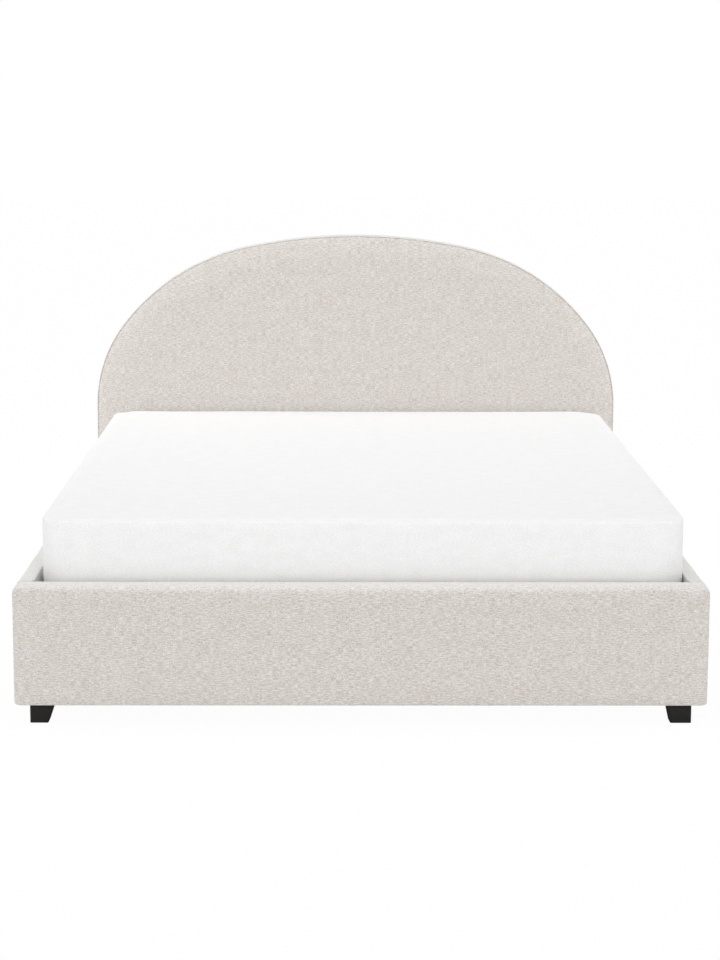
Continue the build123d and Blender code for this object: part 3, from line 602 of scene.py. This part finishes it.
def puffed(piece, free, give, pressure, most, steps=20):
    """Blow a fabric-covered piece up from inside, as its foam does, where it is free."""
    mesh = piece.data
    rest = [vert.co.copy() for vert in mesh.vertices]
    pins = piece.vertex_groups.new(name="held")
    for vert in mesh.vertices:
        pins.add([vert.index], 1.0 - give * free(vert.co, vert.normal), "REPLACE")
    cloth = piece.modifiers.new("cover", "CLOTH")
    cloth.settings.quality = 4
    cloth.settings.mass = 0.4
    cloth.settings.tension_stiffness = 20
    cloth.settings.compression_stiffness = 20
    cloth.settings.bending_stiffness = 2
    cloth.settings.vertex_group_mass = "held"
    cloth.settings.use_pressure = True
    cloth.settings.uniform_pressure_force = pressure
    cloth.settings.effector_weights.gravity = 0
    cloth.point_cache.frame_start = 1
    cloth.point_cache.frame_end = steps
    for step in range(1, steps + 1):
        bpy.context.scene.frame_set(step)
    blown = piece.evaluated_get(bpy.context.evaluated_depsgraph_get()).data
    moves = [blown.vertices[k].co - start for k, start in enumerate(rest)]
    piece.modifiers.remove(cloth)
    piece.vertex_groups.clear()
    for vert, start, move in zip(mesh.vertices, rest, moves):
        vert.co = start + move * min(1.0, most / max(move.length, 1e-9))
    bpy.context.scene.frame_set(1)


def uneven(piece, free, height, reach):
    """Slow unevenness of foam and cloth, along the surface's normal, where it is free."""
    spots = [(vert.co.copy(), vert.normal.copy()) for vert in piece.data.vertices]
    for vert, (place, normal) in zip(piece.data.vertices, spots):
        slow = noise.noise(place / reach)
        quick = noise.noise(place / (reach / 3.1) + Vector((7.3, 1.9, 4.1)))
        vert.co = place + normal * height * (slow + 0.4 * quick) * free(place, normal)


def subdivided(piece):
    layer = piece.modifiers.new("round", "SUBSURF")
    layer.levels = 1
    layer.render_levels = 1


def extruded(bm, line, way, count):
    """Carry a line of edges straight on, in equal steps."""
    for turn in range(count):
        grown = bmesh.ops.extrude_edge_only(bm, edges=only(line, bmesh.types.BMEdge))["geom"]
        verts = only(grown, bmesh.types.BMVert)
        bmesh.ops.translate(bm, verts=verts, vec=way / count)
        line = verts + only(grown, bmesh.types.BMEdge)
    return line


class Arch:
    """The headboard's outline, drawn in by an inset, from its right side's foot to its left."""

    def __init__(self, inset):
        low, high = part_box("headboard_band")
        self.half_width = high.x - inset
        self.base = low.z
        self.crown = high.z - inset
        side_x = high.x - side_arc_radius
        step = side_arc_radius - shoulder_arc_radius
        shoulder_x = side_x + step * cos(side_arc_turn)
        rise = step * sin(side_arc_turn)
        crown_radius = shoulder_arc_radius + shoulder_x / cos(shoulder_arc_turn)
        self.spring = high.z - crown_radius + shoulder_x * tan(shoulder_arc_turn) - rise
        shoulder_turn = shoulder_arc_turn - side_arc_turn
        shoulder_z = self.spring + rise
        self.turns = [
            (side_x, self.spring, side_arc_radius - inset, side_arc_turn),
            (shoulder_x, shoulder_z, shoulder_arc_radius - inset, shoulder_turn),
            (0, high.z - crown_radius, crown_radius - inset, pi - 2 * shoulder_arc_turn),
            (-shoulder_x, shoulder_z, shoulder_arc_radius - inset, shoulder_turn),
            (-side_x, self.spring, side_arc_radius - inset, side_arc_turn),
        ]

    def swept(self, bm, profile, step):
        """Carry a profile that stands at the right side's foot round the whole outline."""
        rise = self.spring - self.base
        upright = ceil(rise / step)
        line = extruded(bm, profile, Vector((0, 0, rise)), upright)
        for x, z, radius, turn in self.turns:
            line = bmesh.ops.spin(
                bm,
                geom=line,
                cent=(x, 0, z),
                axis=(0, -1, 0),
                angle=turn,
                steps=ceil(radius * turn / step),
            )["geom_last"]
        return extruded(bm, line, Vector((0, 0, -rise)), upright)

    def wrapped(self, place, normal):
        """Cloth that runs along the outline: how far round it a point is, and how deep."""
        out = hypot(place.x, max(0.0, place.z - self.spring))
        turned = atan2(max(0.0, place.z - self.spring), place.x)
        fallen = min(0.0, place.z - self.spring) * (1 if place.x > 0 else -1)
        return (turned * mean_outline_radius + fallen, place.y + out)

    def places(self, step):
        """Places about a step apart along the outline, each with the way it runs."""
        found = []
        for z in spread(self.base + step, self.spring, step):
            found.append((Vector((self.half_width, 0, z)), 0.0))
            found.append((Vector((-self.half_width, 0, z)), 0.0))
        angle = 0.0
        for x, z, radius, turn in self.turns:
            count = ceil(radius * turn / step)
            for k in range(count):
                spot = angle + turn * (k + 1 / 2) / count
                found.append((Vector((x + radius * cos(spot), 0, z + radius * sin(spot))), spot))
            angle += turn
        return found


def chain(bm, points):
    """A line of edges through some points."""
    verts = [bm.verts.new(point) for point in points]
    edges = [bm.edges.new(pair) for pair in zip(verts, verts[1:])]
    return verts + edges


def headboard_cushion():
    """The headboard's front padding: rolled over at its edge, with a low crown."""
    low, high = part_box("headboard_pad")
    depth = high.y - low.y
    outline = Arch(seam_inset)
    half, base = outline.half_width, outline.base
    bm = bmesh.new()
    profile = [
        Vector((half - across * pad_edge_width, low.y + back * depth, base))
        for back, across in zip(pad_edge_depth_shares, pad_edge_width_shares)
    ]
    outline.swept(bm, chain(bm, profile), roll_cell)
    for y in (low.y, high.y):
        bm.edges.new(points_at(bm, y=y, z=base))
    for loop in (edges_at(bm, y=low.y), edges_at(bm, y=high.y), edges_at(bm, z=base)):
        bmesh.ops.contextual_create(bm, geom=loop)
    across = spread(pad_edge_width - half, half - pad_edge_width, front_cell)
    upward = spread(base, high.z, front_cell)[1:-1]
    sliced(bm, 0, across, lies_at("y", low.y))
    sliced(bm, 2, upward, lies_at("y", low.y))
    sliced(bm, 0, across, lies_at("z", base))
    sliced(bm, 0, across[::4], lies_at("y", high.y))
    sliced(bm, 2, upward[::4], lies_at("y", high.y))
    bmesh.ops.recalc_face_normals(bm, faces=bm.faces)
    lay_cloth(bm, lambda place, normal: (place.x, place.z))
    piece = finished("headboard_cushion", bm, "bed_base", "upholstery_fabric", "headboard_pad")

    def free(place, normal):
        """How free the cover is: wholly in front, not where it rolls over the edge."""
        return 1.0 if place.y < low.y + pad_front_reach else 0.0

    puffed(piece, free, give=0.95, pressure=3.0, most=cushion_crown)
    uneven(piece, free, height=0.0006, reach=0.22)
    subdivided(piece)
    return piece


def headboard_edge_band():
    """The padded strip round the headboard's edge, thin where it meets the cushion at the seam."""
    low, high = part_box("headboard_band")
    pad_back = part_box("headboard_pad")[1].y
    outline = Arch(0)
    outer = outline.half_width
    inner, seam = outer - band_thickness, outer - seam_inset
    roll = seam_inset - band_seam_roll
    forward = low.y + roll - high.y
    points = [(inner, high.y), (outer, high.y)]
    for share in band_side_shares:
        points.append((outer + band_swell * sin(pi * share), high.y + forward * share))
    for turn in spread(0, pi / 2, pi / 10):
        points.append((outer - roll + roll * cos(turn), low.y + roll - roll * sin(turn)))
    for turn in spread(0, pi / 2, pi / 4)[1:]:
        back = band_seam_roll - band_seam_roll * cos(turn)
        points.append((seam + band_seam_roll - band_seam_roll * sin(turn), low.y + back))
    points += [(seam, pad_back), (inner, pad_back)]
    bm = bmesh.new()
    line = chain(bm, [Vector((x, y, outline.base)) for x, y in points])
    line.append(bm.edges.new((line[len(points) - 1], line[0])))
    outline.swept(bm, line, cell)
    bmesh.ops.remove_doubles(bm, verts=bm.verts, dist=same_place)
    bmesh.ops.holes_fill(bm, edges=open_edges(bm), sides=0)
    bmesh.ops.recalc_face_normals(bm, faces=bm.faces)
    lay_cloth(bm, outline.wrapped)
    piece = finished("headboard_edge_band", bm, "bed_base", "upholstery_fabric", "headboard_band")
    uneven(piece, lambda place, normal: 1.0, height=0.0005, reach=0.09)
    return piece


def rail_padding(side, sign):
    """A side rail's foam and cloth, turned down inside and tucked underneath."""
    low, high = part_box(f"side_rail_cover_{side}")
    inner = min(abs(low.x), abs(high.x))
    outer = max(abs(low.x), abs(high.x)) - rail_swell_room
    fold = return_height()
    corners = [
        (inner + board_fabric, low.z),
        (outer, low.z),
        (outer, high.z),
        (inner, high.z),
        (inner, fold),
        (inner + board_fabric, fold),
    ]
    bm = bmesh.new()
    verts = [bm.verts.new((sign * x, low.y, z)) for x, z in corners]
    bm.faces.new(verts)
    for vert, radius in zip(verts[1:4], (rail_bottom_round, rail_top_round, rail_inner_round)):
        rounded(bm, [vert], radius, 6, affect="VERTICES")
    grown = bmesh.ops.extrude_face_region(bm, geom=bm.faces[:])["geom"]
    moved = only(grown, bmesh.types.BMVert)
    bmesh.ops.translate(bm, verts=moved, vec=(0, high.y - low.y, 0))
    bmesh.ops.recalc_face_normals(bm, faces=bm.faces)
    sliced(bm, 1, spread(low.y, high.y, cell)[1:-1])
    sliced(bm, 2, spread(low.z + rail_bottom_round, high.z - rail_top_round, cell)[1:-1])
    across = spread(inner + rail_inner_round, outer - rail_top_round, cell)[1:-1]
    sliced(bm, 0, [sign * x for x in across])
    lay_cloth(bm, wrapped_over_rail)
    piece = finished(
        f"side_rail_padding_{side}", bm, "bed_base", "upholstery_fabric", f"side_rail_cover_{side}"
    )

    def free(place, normal):
        """How free the cover is: on the outside and the top, away from the ends."""
        ends = min((place.y - low.y) / held_end, (high.y - place.y) / held_end, 1.0)
        outward = max(0.0, normal.x * sign, normal.z if place.z > fold else 0.0)
        tuck = min(1.0, (place.z - low.z) / held_tuck)
        return max(0.0, ends * outward * tuck)

    puffed(piece, free, give=0.97, pressure=2.5, most=padding_crown)
    uneven(piece, free, height=0.0009, reach=0.2)
    subdivided(piece)
    return piece


def return_height():
    """How high the edge of the turned-down cloth lies inside the box."""
    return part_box("rest_brackets")[1].z + turned_edge_above_brackets


def footboard_padding():
    """The footboard's foam and cloth: rounded corners, turned down inside, tucked underneath."""
    low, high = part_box("footboard_cover")
    low = low + Vector((0, footboard_front_swell_room, 0))
    high = high - Vector((0, 0, footboard_top_swell_room))
    fold = return_height()
    inset_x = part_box("side_rail_core_right")[0].x
    bm = block(low, high)
    corners = edges_at(bm, x=low.x, y=low.y) + edges_at(bm, x=high.x, y=low.y)
    rounded(bm, corners, footboard_corner_round, 6)
    top = set(edges_at(bm, z=high.z)) - set(edges_at(bm, z=high.z, y=high.y))
    rounded(bm, list(top), footboard_top_round, 6)
    under = set(edges_at(bm, z=low.z)) - set(edges_at(bm, z=low.z, y=high.y))
    rounded(bm, list(under), rail_bottom_round, 4)
    wide = high.x - footboard_corner_round
    sliced(bm, 0, spread(-wide, wide, cell))
    sliced(bm, 0, (-inset_x, inset_x))
    sliced(bm, 2, spread(low.z + rail_bottom_round, high.z - footboard_top_round, cell))
    sliced(bm, 2, (fold,))
    sliced(bm, 1, spread(low.y + footboard_corner_round, high.y - board_fabric, cell))
    recess(bm, inset_x, fold, high.y)
    bmesh.ops.recalc_face_normals(bm, faces=bm.faces)
    lay_cloth(bm, boxed)
    piece = finished("footboard_padding", bm, "bed_base", "upholstery_fabric", "footboard_cover")

    def free(place, normal):
        """How free the cover is: in front, on the top and a little at the ends."""
        outward = max(0.0, -normal.y, normal.z if place.z > fold else 0.0, 0.6 * abs(normal.x))
        rear = min(1.0, max(0.0, (high.y - place.y) / held_rear))
        tuck = min(1.0, (place.z - low.z) / held_tuck)
        return max(0.0, outward * rear * tuck)

    puffed(piece, free, give=0.97, pressure=2.5, most=padding_crown)
    uneven(piece, free, height=0.0009, reach=0.2)
    subdivided(piece)
    return piece


def recess(bm, half, fold, rear):
    """Set back the inner face below the turned-down edge, where the bare board shows."""
    gone = []
    for face in bm.faces:
        middle = face.calc_center_median()
        if abs(middle.x) < half and middle.z < fold and middle.y > rear - board_fabric:
            gone.append(face)
    bmesh.ops.delete(bm, geom=gone, context="FACES")
    lip = [edge for edge in edges_at(bm, y=rear) if edge.is_boundary]
    grown = bmesh.ops.extrude_edge_only(bm, edges=lip)["geom"]
    verts = only(grown, bmesh.types.BMVert)
    bmesh.ops.translate(bm, verts=verts, vec=(0, -board_fabric, 0))
    bmesh.ops.remove_doubles(bm, verts=bm.verts, dist=same_place)
    bmesh.ops.holes_fill(bm, edges=open_edges(bm), sides=0)
    across = sorted({round(vert.co.x, 5) for vert in points_at(bm, z=fold)})
    upward = sorted({round(vert.co.z, 5) for vert in points_at(bm, x=half)})
    inner = lies_at("y", rear - board_fabric)
    sliced(bm, 0, across, inner)
    sliced(bm, 2, upward, inner)


def mattress():
    """The mattress in its knitted cover: rounded corners and a low crown."""
    low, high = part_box("mattress_cover")
    bm = block(low, high)
    uprights = []
    for x in (low.x, high.x):
        for y in (low.y, high.y):
            uprights += edges_at(bm, x=x, y=y)
    rounded(bm, uprights, mattress_corner_radius, 8)
    rounded(bm, edges_at(bm, z=high.z), mattress_top_round, 4)
    rounded(bm, edges_at(bm, z=low.z), mattress_bottom_round, 4)
    wide = (low.x + mattress_corner_radius, high.x - mattress_corner_radius)
    long = (low.y + mattress_corner_radius, high.y - mattress_corner_radius)
    tall = (low.z + mattress_bottom_round, high.z - mattress_top_round)
    sliced(bm, 0, spread(*wide, mattress_cell))
    sliced(bm, 1, spread(*long, mattress_cell))
    sliced(bm, 2, spread(*tall, mattress_cell)[1:-1])
    corner = mattress_corner_radius - mattress_top_round
    arcs = [corner * sin(turn) for turn in spread(0, pi / 2, pi / 16)[1:-1]]
    lid = lies_at("z", high.z)
    sliced(bm, 0, [wide[0] - arc for arc in arcs] + [wide[1] + arc for arc in arcs], lid)
    sliced(bm, 1, [long[0] - arc for arc in arcs] + [long[1] + arc for arc in arcs], lid)
    bmesh.ops.recalc_face_normals(bm, faces=bm.faces)
    lay_cloth(bm, boxed)
    piece = finished("mattress_knit_cover", bm, "lift_platform", "white_knit", "mattress_cover")

    def free(place, normal):
        """How free the cover is: wholly on top, a little at the sides, not underneath."""
        if normal.z < -0.5:
            return 0.0
        if normal.z > 0.7:
            return 1.0
        rise = (place.z - low.z) / mattress_foot_hold
        drop = (high.z - place.z) / mattress_seam_hold
        return mattress_side_share * max(0.0, min(1.0, rise, drop))

    puffed(piece, free, give=0.95, pressure=2.0, most=mattress_crown)
    uneven(piece, free, height=0.0016, reach=0.3)
    subdivided(piece)
    return piece


def back_lining():
    """Thin black cloth stretched over the headboard's back, hemmed, sagging between the frame."""
    low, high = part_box("headboard_back_cloth")
    outline = Arch(band_thickness + lining_inset)
    half, base = outline.half_width, outline.base
    back = high.y - lining_thickness / 2
    bm = bmesh.new()
    edge = [Vector((half, back - lining_thickness, base)), Vector((half - lining_hem, back, base))]
    outline.swept(bm, chain(bm, edge), roll_cell)
    bm.edges.new(points_at(bm, y=back, z=base))
    bmesh.ops.contextual_create(bm, geom=edges_at(bm, y=back))
    across = spread(lining_hem - half, half - lining_hem, front_cell)
    upward = spread(base, high.z, front_cell)[1:-1]
    sliced(bm, 0, across, lies_at("y", back))
    sliced(bm, 2, upward, lies_at("y", back))
    bmesh.ops.recalc_face_normals(bm, faces=bm.faces)
    if max(bm.faces, key=lambda face: face.calc_area()).normal.y < 0:
        bmesh.ops.reverse_faces(bm, faces=bm.faces)
    members = [frame["nodes"][f"headboard_{part}"] for part in ("rim", "uprights", "cross_rails")]
    forward = Vector((0, -1, 0))
    free = []
    for vert in bm.verts:
        start = vert.co - forward * bearing_reach
        borne = any(member.ray_cast(start, forward, distance=2 * bearing_reach)[0] for member in members)
        if not borne and not vert.is_boundary:
            free.append(vert)
    bmesh.ops.translate(bm, verts=free, vec=forward * lining_sag)
    for turn in range(lining_slack_rounds):
        bmesh.ops.smooth_vert(bm, verts=free, factor=0.5, use_axis_y=True)
    lay_cloth(bm, lambda place, normal: (place.x, place.z))
    area = sum(face.calc_area() for face in bm.faces)
    piece = finished(
        "headboard_back_lining", bm, "bed_base", "black_lining_cloth", "headboard_back_cloth"
    )
    return piece


def lining_staples():
    """Wire staples that hold the lining to the headboard's rim."""
    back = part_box("headboard_back_cloth")[1].y
    outline = Arch(band_thickness + staple_inset)
    bm = bmesh.new()
    for place, turn in outline.places(staple_spacing):
        wire = bmesh.ops.create_cube(bm, size=1)["verts"]
        bmesh.ops.scale(bm, verts=wire, vec=(staple_wire, staple_wire, staple_width))
        bmesh.ops.rotate(bm, verts=wire, matrix=Matrix.Rotation(-turn, 3, "Y"))
        bmesh.ops.translate(bm, verts=wire, vec=place + Vector((0, back + staple_wire / 4, 0)))
    rounded(bm, bm.edges[:], staple_wire / 5, 1)
    return finished("lining_staples", bm, "bed_base", "zinc_steel")


def lifting_strap():
    """The webbing strap at the platform's foot, folded into a loop."""
    low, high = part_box("pull_strap")
    ply = (high.y - low.y) * strap_ply_share
    middle = (low.y + high.y) / 2
    bend = (high.y - low.y - ply) / 2
    outer = middle - bend - ply / 2
    inner = middle - bend + ply / 2
    corners = ((low.x, outer), (high.x, outer), (high.x, inner), (low.x, inner))
    bm = bmesh.new()
    section = chain(bm, [Vector((x, y, low.z)) for x, y in corners])
    verts = only(section, bmesh.types.BMVert)
    section.append(bm.edges.new((verts[3], verts[0])))
    rise = Vector((0, 0, high.z - low.z - bend - ply / 2))
    top = low.z + rise.z
    line = extruded(bm, section, rise, strap_steps)
    line = bmesh.ops.spin(
        bm, geom=line, cent=(0, middle, top), axis=(-1, 0, 0), angle=pi, steps=strap_steps
    )["geom_last"]
    extruded(bm, line, -rise, strap_steps)
    bmesh.ops.holes_fill(bm, edges=open_edges(bm), sides=0)
    bmesh.ops.recalc_face_normals(bm, faces=bm.faces)
    lay_cloth(bm, boxed)
    return finished("lifting_strap", bm, "lift_platform", "grey_webbing", "pull_strap")


def floor():
    """A pale floor that looks white and keeps the bed's shadow."""
    bm = bmesh.new()
    bmesh.ops.create_grid(bm, x_segments=1, y_segments=1, size=floor_size)
    mesh = bpy.data.meshes.new("floor")
    bm.to_mesh(mesh)
    bm.free()
    ground = bpy.data.objects.new("floor", mesh)
    bpy.context.scene.collection.objects.link(ground)
    finish = Finish("pale_floor", Roughness=0.9, Base_Color=paint(252, 252, 252))
    share = finish.node("ShaderNodeLightPath", {}, {}, "Is Camera Ray") * floor_glow_share
    glow = finish.node("ShaderNodeEmission", {}, {"Color": white, "Strength": 1.0})
    lit = Shade(finish, finish.shader.outputs[0])
    mix = finish.node("ShaderNodeMixShader", {}, {0: share, 1: lit, 2: glow})
    finish.feed(finish.tree.nodes["Material Output"].inputs["Surface"], mix)
    mesh.materials.append(finish.material)


def surround():
    """Even light from all sides, which looks white and shows white in gloss."""
    world = bpy.data.worlds.new("surround")
    bpy.context.scene.world = world
    world.use_nodes = True
    nodes = Nodes(world.node_tree)
    nodes.tree.nodes.clear()
    dim, bright = [
        nodes.node("ShaderNodeBackground", {}, {"Color": white, "Strength": strength})
        for strength in (surround_light, surround_seen)
    ]
    mix = nodes.node("ShaderNodeMixShader", {}, {0: nodes.shown(), 1: dim, 2: bright})
    end = nodes.tree.nodes.new("ShaderNodeOutputWorld")
    nodes.feed(end.inputs["Surface"], mix)


def lamps():
    """Soft lamps from the front, the sides and above."""
    for name, azimuth, height, width, strength in broad_lamps:
        light = bpy.data.lights.new(name, "SUN")
        light.energy = strength
        light.angle = radians(width)
        turn = Euler((radians(-height), 0, radians(azimuth)))
        way = Vector((0, -1, 0))
        way.rotate(turn)
        hung(name, light, way, Vector())
    for name, place, aim, size, power in panel_lamps:
        light = bpy.data.lights.new(name, "AREA")
        light.shape = "RECTANGLE"
        light.size, light.size_y = size
        light.energy = power
        hung(name, light, Vector(place), Vector(aim))


def hung(name, light, place, aim):
    """Hang a lamp and turn it to what it lights."""
    lamp = bpy.data.objects.new(name, light)
    lamp.location = place
    lamp.rotation_euler = (aim - place).to_track_quat("-Z", "Y").to_euler()
    lamp.visible_camera = False
    bpy.context.scene.collection.objects.link(lamp)


def photograph():
    """The camera, at the photograph's place."""
    data = bpy.data.cameras.new("camera")
    data.lens = lens
    data.sensor_width = sensor
    camera = bpy.data.objects.new("camera", data)
    turn = Euler((pi / 2 + camera_pitch, 0, camera_yaw), "XYZ").to_matrix()
    turn = turn @ Matrix.Rotation(camera_roll, 3, "Z")
    camera.matrix_world = Matrix.Translation(camera_place) @ turn.to_4x4()
    bpy.context.scene.collection.objects.link(camera)
    bpy.context.scene.camera = camera


dress_frame()
headboard_cushion()
headboard_edge_band()
back_lining()
lining_staples()
lifting_strap()
for side, sign in (("left", -1), ("right", 1)):
    rail_padding(side, sign)
footboard_padding()
mattress()
floor()
surround()
lamps()
photograph()
bpy.context.scene.view_settings.view_transform = "Standard"
